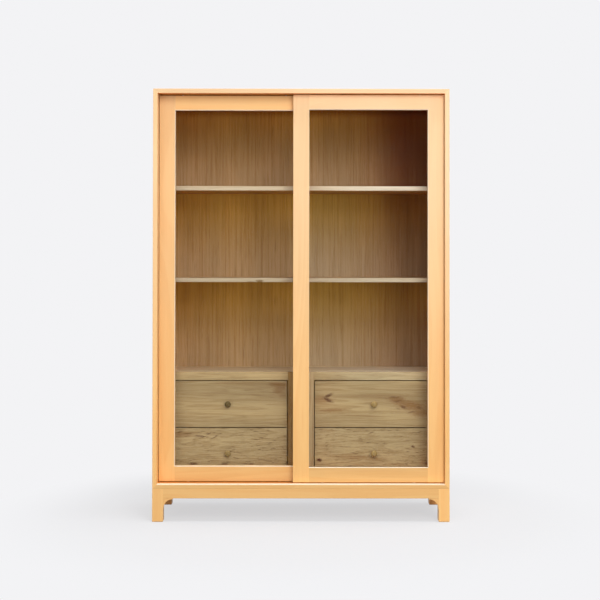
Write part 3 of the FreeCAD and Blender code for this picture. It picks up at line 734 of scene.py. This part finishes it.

# Each wooden piece: its wood, the way of its grain, which of its edges are eased, by how much,
# which ways its faces with painted shade look, and its tone
WOODEN = {
    "left_side_panel": ("outer_wood", "z", "z", ARRIS, "", 1.07),
    "right_side_panel": ("outer_wood", "z", "z", ARRIS, "", 1.04),
    "top_panel": ("outer_wood", "x", "x", ARRIS, "-z", 0.96),
    "bottom_panel": ("outer_wood", "x", "x", ARRIS, "", 0.92),
    "back_panel": ("inner_veneer", "z", "", 0.0, "", 1.03),
    "upper_shelf": ("shelf_oak", "x", "x", ARRIS, "+z -z", 1.22),
    "lower_shelf": ("shelf_oak", "x", "x", ARRIS, "+z -z", 0.94),
    "drawer_deck": ("shelf_oak", "x", "", 0.0, "", 1.20),
    "centre_post": ("frame_oak", "z", "z", FINE_ARRIS, "+x -x", 1.02),
    "face_frame_stiles": ("frame_oak", "z", "z", FINE_ARRIS, "+x -x", 0.95),
    "deck_rails": ("frame_oak", "x", "x", FINE_ARRIS, "-z", 1.18),
    "centre_partitions": ("inner_veneer", "y", "", 0.0, "", INNER_TONE),
    "drawer_runners": ("inner_veneer", "y", "y", FINE_ARRIS, "", INNER_TONE),
    "front_apron": ("outer_wood", "x", "x", SEAM_ARRIS, "", 0.99),
    "rear_apron": ("outer_wood", "x", "x", SEAM_ARRIS, "", 0.99),
    "side_aprons": ("outer_wood", "y", "y", SEAM_ARRIS, "", 0.99),
    "corner_brackets": ("outer_wood", "x", "", 0.0, "", 1.02),
}
for hand, tone in (("left", 1.05), ("right", 1.12)):
    for row, shaded in (("front", ""), ("rear", "-y")):
        WOODEN[f"{row}_{hand}_leg"] = ("outer_wood", "z", "xyz", ARRIS, shaded, tone)
for level, oak in (("upper", "drawer_oak"), ("lower", "lively_oak")):
    for hand in ("left", "right"):
        drawer = f"{level}_{hand}_drawer"
        tone = FRONT_TONES[level, hand]
        WOODEN[f"{drawer}_front"] = (oak, "x", "xz", FINE_ARRIS, "+x -x +z -z", tone)
        WOODEN[f"{drawer}_box"] = ("inner_veneer", "y", "y", FINE_ARRIS, "", INNER_TONE)
        WOODEN[f"{drawer}_bottom"] = ("inner_veneer", "x", "", 0.0, "", INNER_TONE)
for door, tones in DOOR_TONES.items():
    for hand in ("left", "right"):
        stile = f"{hand}_stile"
        WOODEN[f"{door}_{stile}"] = ("outer_wood", "z", "z", FINE_ARRIS, "-x +x", tones[stile])
    for level, edge in (("top", "+z -z"), ("bottom", "-z")):
        rail = f"{level}_rail"
        WOODEN[f"{door}_{rail}"] = ("outer_wood", "x", "x", FINE_ARRIS, edge, tones[rail])
    WOODEN[f"{door}_glazing_beads"] = ("outer_wood", "z", "", 0.0, "", 0.9)

# The edges round the panes are eased more and carry a painted highlight: the way each faces
PANE_SIDES = {"left_stile": "+x", "right_stile": "-x", "top_rail": "-z", "bottom_rail": "+z"}
PANE_EDGES = {f"{door}_{part}": way for door in DOOR_TONES for part, way in PANE_SIDES.items()}

# Faces with the same painted highlight, lit from above: which way they look, and the Y in front of
# which they lie
PAINTED_HIGHLIGHT_FACES = {
    "left_door_bottom_rail": ("+z", 0.0),
    "right_door_bottom_rail": ("+z", 0.0),
    "bottom_panel": ("+z", -0.165),
}

# Front edges along X that are rounded by their own amount: the way of the other face, the radius,
# and the shares of painted highlight and painted shade on the rounding; the shade is a dark line
# under the doors
FRONT_ARRISES = {"bottom_panel": ("+z", 0.0016, 1.0, 0.0)}
for door, width, shade in (("left_door", 0.0009, 0.2), ("right_door", 0.0018, 1.0)):
    for part in ("left_stile", "right_stile", "bottom_rail"):
        FRONT_ARRISES[f"{door}_{part}"] = ("-z", width, 0.0, shade)

# How much of its wood's painted light each piece takes, where that isn't 1: the lower shelf and the
# door at the back take less of it
PAINTED_LIGHT_SHARES = {
    "lower_shelf": 0.2,
    "right_side_panel": 1.5,
    "top_panel": 1.3,
    "left_door_left_stile": 0.60,
    "left_door_right_stile": 0.60,
    "left_door_top_rail": 0.15,
    "right_door_left_stile": 1.1,
    "right_door_right_stile": 1.25,
    "right_door_top_rail": 1.2,
}

# The back panel's painted light lies on its inner face only
PAINTED_LIGHT_FACES = {"back_panel": "-y"}

# How much painted shade a piece's shaded faces take and how bright it is, where that isn't 1: the
# strip under the top and the fronts of the rear legs
PAINTED_SHADE_LOOKS = {
    "top_panel": (0.85, 1.5),
    "rear_left_leg": (0.55, 1.0),
    "rear_right_leg": (0.55, 1.0),
}

RECORD = frame["record"]
BODIES = RECORD["behaviour"]["bodies"]
BODY_OF = {node: body for body, members in BODIES.items() for node in members}
SLOT_OF = {part["node"]: part["material_slot"] for part in RECORD["subparts"]}


def placed(name, data):
    """A new object in the scene."""
    item = bpy.data.objects.new(name, data)
    bpy.context.scene.collection.objects.link(item)
    return item


def finished(name, shape, material, body, replaced=()):
    """Show a shape as a piece of the cabinet, in its material and on its body."""
    mesh = bpy.data.meshes.new(name)
    shape.to_mesh(mesh)
    shape.free()
    mesh.materials.clear()
    mesh.materials.append(material)
    for polygon in mesh.polygons:
        polygon.use_smooth = True
        polygon.material_index = 0
    mesh.set_sharp_from_angle(angle=SHARP)
    piece = placed(name, mesh)
    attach(piece, body)
    if replaced:
        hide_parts(*replaced)
    return piece


def runs_along(edge, direction):
    """Whether an edge is parallel to a direction."""
    return abs((edge.verts[1].co - edge.verts[0].co).normalized().dot(direction)) > ALONG


def to_be_eased(edge, ways):
    """Whether an edge is an outer square corner that runs one of the given ways."""
    if not edge.is_manifold or not edge.is_convex or edge.calc_length() < SHORTEST_ARRIS:
        return False
    if not SQUARE[0] < edge.calc_face_angle() < SQUARE[1]:
        return False
    return any(runs_along(edge, AXES[way]) for way in ways)


def looks(face, ways):
    """Whether a face looks one of the given ways."""
    return any(face.normal.dot(WAYS[way]) > FACING for way in ways)


def has_face(edge, way):
    """Whether one of the faces at an edge looks a given way."""
    return any(looks(face, [way]) for face in edge.link_faces)


def pane_height(door):
    """Where a door's pane opening begins and ends, from its rails."""
    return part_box(f"{door}_bottom_rail")[1].z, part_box(f"{door}_top_rail")[0].z


def lines_pane(edge, node):
    """Whether an edge runs beside the pane opening, at the front."""
    if not (has_face(edge, PANE_EDGES[node]) and has_face(edge, "-y")):
        return False
    low, high = pane_height(BODY_OF[node])
    return all(low - MERGE < vert.co.z < high + MERGE for vert in edge.verts)


def meets_rail(edge, node):
    """Whether an edge of a stile lies against the end of a rail."""
    return has_face(edge, PANE_EDGES[node]) and not lines_pane(edge, node)


def split_at_rails(shape, door):
    """Cut a stile's faces level with the pane opening's foot and head."""
    for height in pane_height(door):
        geometry = shape.verts[:] + shape.edges[:] + shape.faces[:]
        bmesh.ops.bisect_plane(
            shape, geom=geometry, dist=MERGE, plane_co=(0, 0, height), plane_no=AXES["z"]
        )


def ease(shape, edges, width, layers, highlight=0.0, shade=0.0):
    """Round the given edges over and give the new faces their shares of painted highlight and painted
    shade.
    """
    if not edges:
        return
    eased = bmesh.ops.bevel(
        shape,
        geom=edges,
        offset=width,
        offset_type="OFFSET",
        segments=ARRIS_STEPS,
        profile=0.5,
        affect="EDGES",
        clamp_overlap=True,
        material=-1,
    )
    for face in eased["faces"]:
        face[layers["hidden"]] = shade
        face[layers["arris"]] = highlight


def mark_faces(shape, node, shade_ways, tone, layers):
    """Mark the tone of a piece's faces, its share of painted light, its faces with painted shade and
    those with a painted highlight.
    """
    share, brightness = PAINTED_SHADE_LOOKS.get(node, (1.0, 1.0))
    highlight_way, behind = PAINTED_HIGHLIGHT_FACES.get(node, ("", 0.0))
    for face in shape.faces:
        hidden = looks(face, shade_ways.split())
        face[layers["hidden"]] = share * hidden
        face[layers["tone"]] = tone * (brightness if hidden else 1.0)
        coloured = node not in PAINTED_LIGHT_FACES or looks(face, [PAINTED_LIGHT_FACES[node]])
        face[layers["painted_light_share"]] = PAINTED_LIGHT_SHARES.get(node, 1.0) * coloured
        if looks(face, highlight_way.split()) and face.calc_center_median().y < behind:
            face[layers["arris"]] = 1.0


def ease_pane(shape, node, ways, layers):
    """Round the edge beside the pane, with a painted highlight, stopped where a rail meets a stile.
    """
    if node.endswith("stile"):
        split_at_rails(shape, BODY_OF[node])
    edges = [edge for edge in shape.edges if to_be_eased(edge, ways) and lines_pane(edge, node)]
    ease(shape, edges, PANE_ARRIS, layers, highlight=1.0)


def ease_front(shape, node, layers):
    """Round the front edges that have their own radius, with their painted highlight or painted
    shade.
    """
    way, width, highlight, shade = FRONT_ARRISES[node]
    front = min(vert.co.y for vert in shape.verts) + MERGE
    edges = [
        edge
        for edge in shape.edges
        if to_be_eased(edge, "x")
        and has_face(edge, way)
        and max(vert.co.y for vert in edge.verts) < front
    ]
    ease(shape, edges, width, layers, highlight, shade)


def make_wooden_piece(node, number):
    """The CAD piece in wood, its visible square edges eased."""
    wood_name, axis, ways, width, shade_ways, tone = WOODEN[node]
    shape = bmesh.new()
    shape.from_mesh(frame["nodes"][node].data)
    bmesh.ops.remove_doubles(shape, verts=shape.verts, dist=MERGE)
    bmesh.ops.dissolve_limit(shape, angle_limit=FLAT, verts=shape.verts, edges=shape.edges)
    layers = {name: shape.faces.layers.float.new(name) for name in FACE_MARKS}
    mark_faces(shape, node, shade_ways, tone, layers)
    if node in PANE_EDGES:
        ease_pane(shape, node, ways, layers)
    if node in FRONT_ARRISES:
        ease_front(shape, node, layers)
    edges = [edge for edge in shape.edges if to_be_eased(edge, ways)]
    if node.endswith("stile"):
        edges = [edge for edge in edges if not meets_rail(edge, node)]
    ease(shape, edges, width, layers)
    for face in shape.faces:
        face[layers["board"]] = number
    material = wood(wood_name, axis)
    piece = finished(f"{node}_wood", shape, material, BODY_OF[node], [node])
    flatness = piece.modifiers.new("flat_faces", "WEIGHTED_NORMAL")
    flatness.weight = FLAT_WEIGHT
    flatness.keep_sharp = True


board_numbers = random.Random(7)


def next_board():
    """A number that sets the figure of one board apart from the others."""
    return round(board_numbers.uniform(0.0, BOARD_RANGE), BOARD_PLACES)


for node in sorted(WOODEN):
    make_wooden_piece(node, next_board())

# Turned knob: distance from the drawer front, and radius there
KNOB_PROFILE = (
    (0.0000, 0.0078),
    (0.0010, 0.0080),
    (0.0026, 0.0070),
    (0.0048, 0.0058),
    (0.0075, 0.0053),
    (0.0094, 0.0062),
    (0.0108, 0.0088),
    (0.0128, 0.0116),
    (0.0152, 0.0129),
    (0.0176, 0.0129),
    (0.0200, 0.0116),
    (0.0219, 0.0086),
    (0.0228, 0.0048),
    (0.0230, 0.0000),
)
KNOB_SIDES = 40
KNOB_TONES = {"upper_left": 0.34, "upper_right": 0.92, "lower_left": 0.72, "lower_right": 0.84}


def make_knob(node, number, tone):
    """A knob turned about its own axis."""
    low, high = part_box(node)
    face = low.y + KNOB_PROFILE[-1][0]
    middle = Vector(((low.x + high.x) / 2, face, (low.z + high.z) / 2))
    shape = bmesh.new()
    points = [shape.verts.new(middle + Vector((radius, -out, 0))) for out, radius in KNOB_PROFILE]
    line = [shape.edges.new(ends) for ends in zip(points, points[1:])]
    bmesh.ops.spin(
        shape,
        geom=points + line,
        cent=middle,
        axis=AXES["y"],
        angle=2 * math.pi,
        steps=KNOB_SIDES,
        use_merge=True,
    )
    bmesh.ops.remove_doubles(shape, verts=shape.verts, dist=MERGE)
    bmesh.ops.holes_fill(shape, edges=shape.edges, sides=0)
    bmesh.ops.recalc_face_normals(shape, faces=shape.faces)
    for name, value in zip(FACE_MARKS, (number, tone, 1.0, 0.0, 0.0)):
        layer = shape.faces.layers.float.new(name)
        for face in shape.faces:
            face[layer] = value
    material = wood("knob_oak", "y")
    piece = finished(f"{node}_turned", shape, material, BODY_OF[node], [node])
    smoothing = piece.modifiers.new("rounding", "SUBSURF")
    smoothing.levels = smoothing.render_levels = 1


for drawer, tone in KNOB_TONES.items():
    make_knob(f"{drawer}_drawer_knob", next_board(), tone)

# Countersunk screws round the back panel, with a tapered socket in the middle of each head
SCREW_RADIUS = 0.0034
SCREW_RISE = 0.0002
SCREW_SIDES = 24
SOCKET_RADIUS = 0.0014
SOCKET_TAPER = SOCKET_RADIUS / 4
SOCKET_DEPTH = 0.0009
SCREW_INSET = 0.0045
SCREW_COLUMNS, SCREW_ROWS = 5, 6


def evenly(first, last, count):
    """Evenly spaced values from the first to the last."""
    return [first + (last - first) * step / (count - 1) for step in range(count)]


def screw_places():
    """Evenly spaced points round the edge of the back panel's rear face."""
    low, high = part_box("back_panel")
    across = evenly(low.x + SCREW_INSET, high.x - SCREW_INSET, SCREW_COLUMNS)
    foot, *between, head = evenly(low.z + SCREW_INSET, high.z - SCREW_INSET, SCREW_ROWS)
    rows = [Vector((x, high.y, z)) for x in across for z in (foot, head)]
    return rows + [Vector((x, high.y, z)) for z in between for x in (across[0], across[-1])]


def make_back_screws():
    """The screw heads that hold the back panel."""
    shape = bmesh.new()
    facing_back = Matrix.Rotation(-math.pi / 2, 4, "X")
    for place in screw_places():
        matrix = Matrix.Translation(place) @ facing_back
        disc = bmesh.ops.create_circle(
            shape, cap_ends=True, segments=SCREW_SIDES, radius=SCREW_RADIUS, matrix=matrix
        )
        head = list({face for vert in disc["verts"] for face in vert.link_faces})
        raised = bmesh.ops.extrude_face_region(shape, geom=head)["geom"]
        top = [item for item in raised if isinstance(item, bmesh.types.BMFace)]
        corners = [item for item in raised if isinstance(item, bmesh.types.BMVert)]
        bmesh.ops.translate(shape, verts=corners, vec=Vector((0, SCREW_RISE, 0)))
        bmesh.ops.inset_region(shape, faces=top, thickness=SCREW_RADIUS - SOCKET_RADIUS)
        bmesh.ops.inset_region(shape, faces=top, thickness=SOCKET_TAPER, depth=-SOCKET_DEPTH)
    bmesh.ops.recalc_face_normals(shape, faces=shape.faces)
    finished("back_panel_screws", shape, PLAIN_FINISHES["pin_steel"], "root")


PLAIN_FINISHES = {
    "pin_steel": plated_steel(),
    "clear_glass": window_glass(),
    "track_metal": satin_finish("track_metal"),
    "wheel_nylon": satin_finish("wheel_nylon"),
}
for node, slot in SLOT_OF.items():
    if slot in PLAIN_FINISHES:
        for holder in frame["nodes"][node].material_slots:
            holder.material = PLAIN_FINISHES[slot]
make_back_screws()

# Room: a pale floor that keeps the shadow and fades into the background, and soft light from all
# round that is stronger from above
BACKGROUND = (0.896, 0.896, 0.913)
FLOOR_ALBEDO = 0.30
SEEN_FLOOR_ALBEDO = (0.60, 0.605, 0.62)
SHADOW_SHARE = 0.34
FLOOR_SIZE = 30.0
FADE_START, FADE_END = 0.85, 1.35
HORIZON_LIGHT, ZENITH_LIGHT = 0.19, 0.56
WHITE = (1.0, 1.0, 1.0)

# Square soft lamps in front: place, size and power. Each looks at the same point of the cabinet.
LAMP_TARGET = Vector((0.0, -0.2, 1.0))
LAMPS = {
    "front_lamp": ((0.9, -4.6, 3.4), 2.2, 111.0),
    "right_lamp": ((2.1, -4.5, 1.5), 1.6, 30.0),
    "left_lamp": ((-2.1, -4.5, 1.5), 1.6, 26.0),
}

# Distant soft lamp above: its tilts to the right and to the front in degrees, strength and spread
OVERHEAD_TILTS = (8.0, 6.0)
OVERHEAD_STRENGTH = 2.05
OVERHEAD_SPREAD = 30.0

# The photograph's view: straight at the front, a little above the middle
CAMERA_PLACE = (-0.0239, -5.2, 1.0455)
CAMERA_PITCH, CAMERA_ROLL, CAMERA_YAW = 0.01217, -0.0012, -0.0038
FOCAL_LENGTH = 74.23
SENSOR_WIDTH = 36.0
UPWARD_SHIFT = -0.0872
CLIP_END = 60.0


def seen_rays(tree):
    """1 for rays from the eye, straight or through gloss and glass."""
    rays = put(tree, "LightPath").outputs
    seen = maths(tree, "MAXIMUM", rays["Is Camera Ray"], rays["Is Glossy Ray"])
    return maths(tree, "MAXIMUM", seen, rays["Is Transmission Ray"])


def floor_material():
    """Pale floor that keeps the cabinet's soft shadow and fades into the background."""
    material = bpy.data.materials.new("studio_floor")
    material.use_nodes = True
    tree = material.node_tree
    tree.nodes.clear()
    plain = put(tree, "BsdfDiffuse", {"Color": (FLOOR_ALBEDO,) * 3}).outputs[0]
    shaded = put(tree, "BsdfDiffuse", {"Color": SEEN_FLOOR_ALBEDO}).outputs[0]
    lit = put(tree, "Emission", {"Color": BACKGROUND, "Strength": 1.0}).outputs[0]
    near = put(tree, "MixShader", {0: SHADOW_SHARE, 1: lit, 2: shaded}).outputs[0]
    place = put(tree, "TexCoord").outputs["Object"]
    fade = spread(tree, length_of(tree, place), FADE_START, FADE_END)
    seen = put(tree, "MixShader", {0: fade, 1: near, 2: lit}).outputs[0]
    whole = put(tree, "MixShader", {0: seen_rays(tree), 1: plain, 2: seen}).outputs[0]
    put(tree, "OutputMaterial", {"Surface": whole})
    return material


def make_floor():
    """The floor under the cabinet."""
    shape = bmesh.new()
    bmesh.ops.create_grid(shape, x_segments=1, y_segments=1, size=FLOOR_SIZE / 2)
    mesh = bpy.data.meshes.new("studio_floor")
    shape.to_mesh(mesh)
    shape.free()
    mesh.materials.append(floor_material())
    floor = placed("studio_floor", mesh)


def make_sky():
    """Soft light from all round, stronger from above; the eye sees the plain background."""
    world = bpy.data.worlds.new("studio")
    bpy.context.scene.world = world
    world.use_nodes = True
    tree = world.node_tree
    tree.nodes.clear()
    direction = put(tree, "TexCoord").outputs["Generated"]
    level = spread(tree, coordinate(tree, direction, "Z"), 0.0, 1.0, HORIZON_LIGHT, ZENITH_LIGHT)
    soft = put(tree, "Background", {"Color": WHITE, "Strength": level}).outputs[0]
    plain = put(tree, "Background", {"Color": BACKGROUND, "Strength": 1.0}).outputs[0]
    mixed = put(tree, "MixShader", {0: seen_rays(tree), 1: soft, 2: plain}).outputs[0]
    put(tree, "OutputWorld", {"Surface": mixed})


def hang_lamp(name, kind, power, direction):
    """A new lamp that shines in a direction."""
    lamp = bpy.data.lights.new(name, kind)
    lamp.energy = power
    holder = placed(name, lamp)
    holder.rotation_euler = direction.to_track_quat("-Z", "Y").to_euler()
    return holder


def make_lamps():
    """The square lamps in front and the distant one above."""
    for name, (place, size, power) in LAMPS.items():
        holder = hang_lamp(name, "AREA", power, LAMP_TARGET - Vector(place))
        holder.location = place
        holder.data.shape = "SQUARE"
        holder.data.size = size
    right, front = (math.tan(math.radians(tilt)) for tilt in OVERHEAD_TILTS)
    overhead = hang_lamp("overhead_lamp", "SUN", OVERHEAD_STRENGTH, Vector((-right, front, -1.0)))
    overhead.data.angle = math.radians(OVERHEAD_SPREAD)


def make_camera():
    """The camera of the photograph's view."""
    data = bpy.data.cameras.new("front_view")
    data.lens = FOCAL_LENGTH
    data.sensor_width = SENSOR_WIDTH
    data.shift_y = UPWARD_SHIFT
    data.clip_end = CLIP_END
    camera = placed("front_view", data)
    camera.location = CAMERA_PLACE
    camera.rotation_euler = (math.pi / 2 + CAMERA_PITCH, CAMERA_ROLL, CAMERA_YAW)
    bpy.context.scene.camera = camera


make_floor()
make_sky()
make_lamps()
make_camera()
bpy.context.scene.view_settings.view_transform = "Standard"
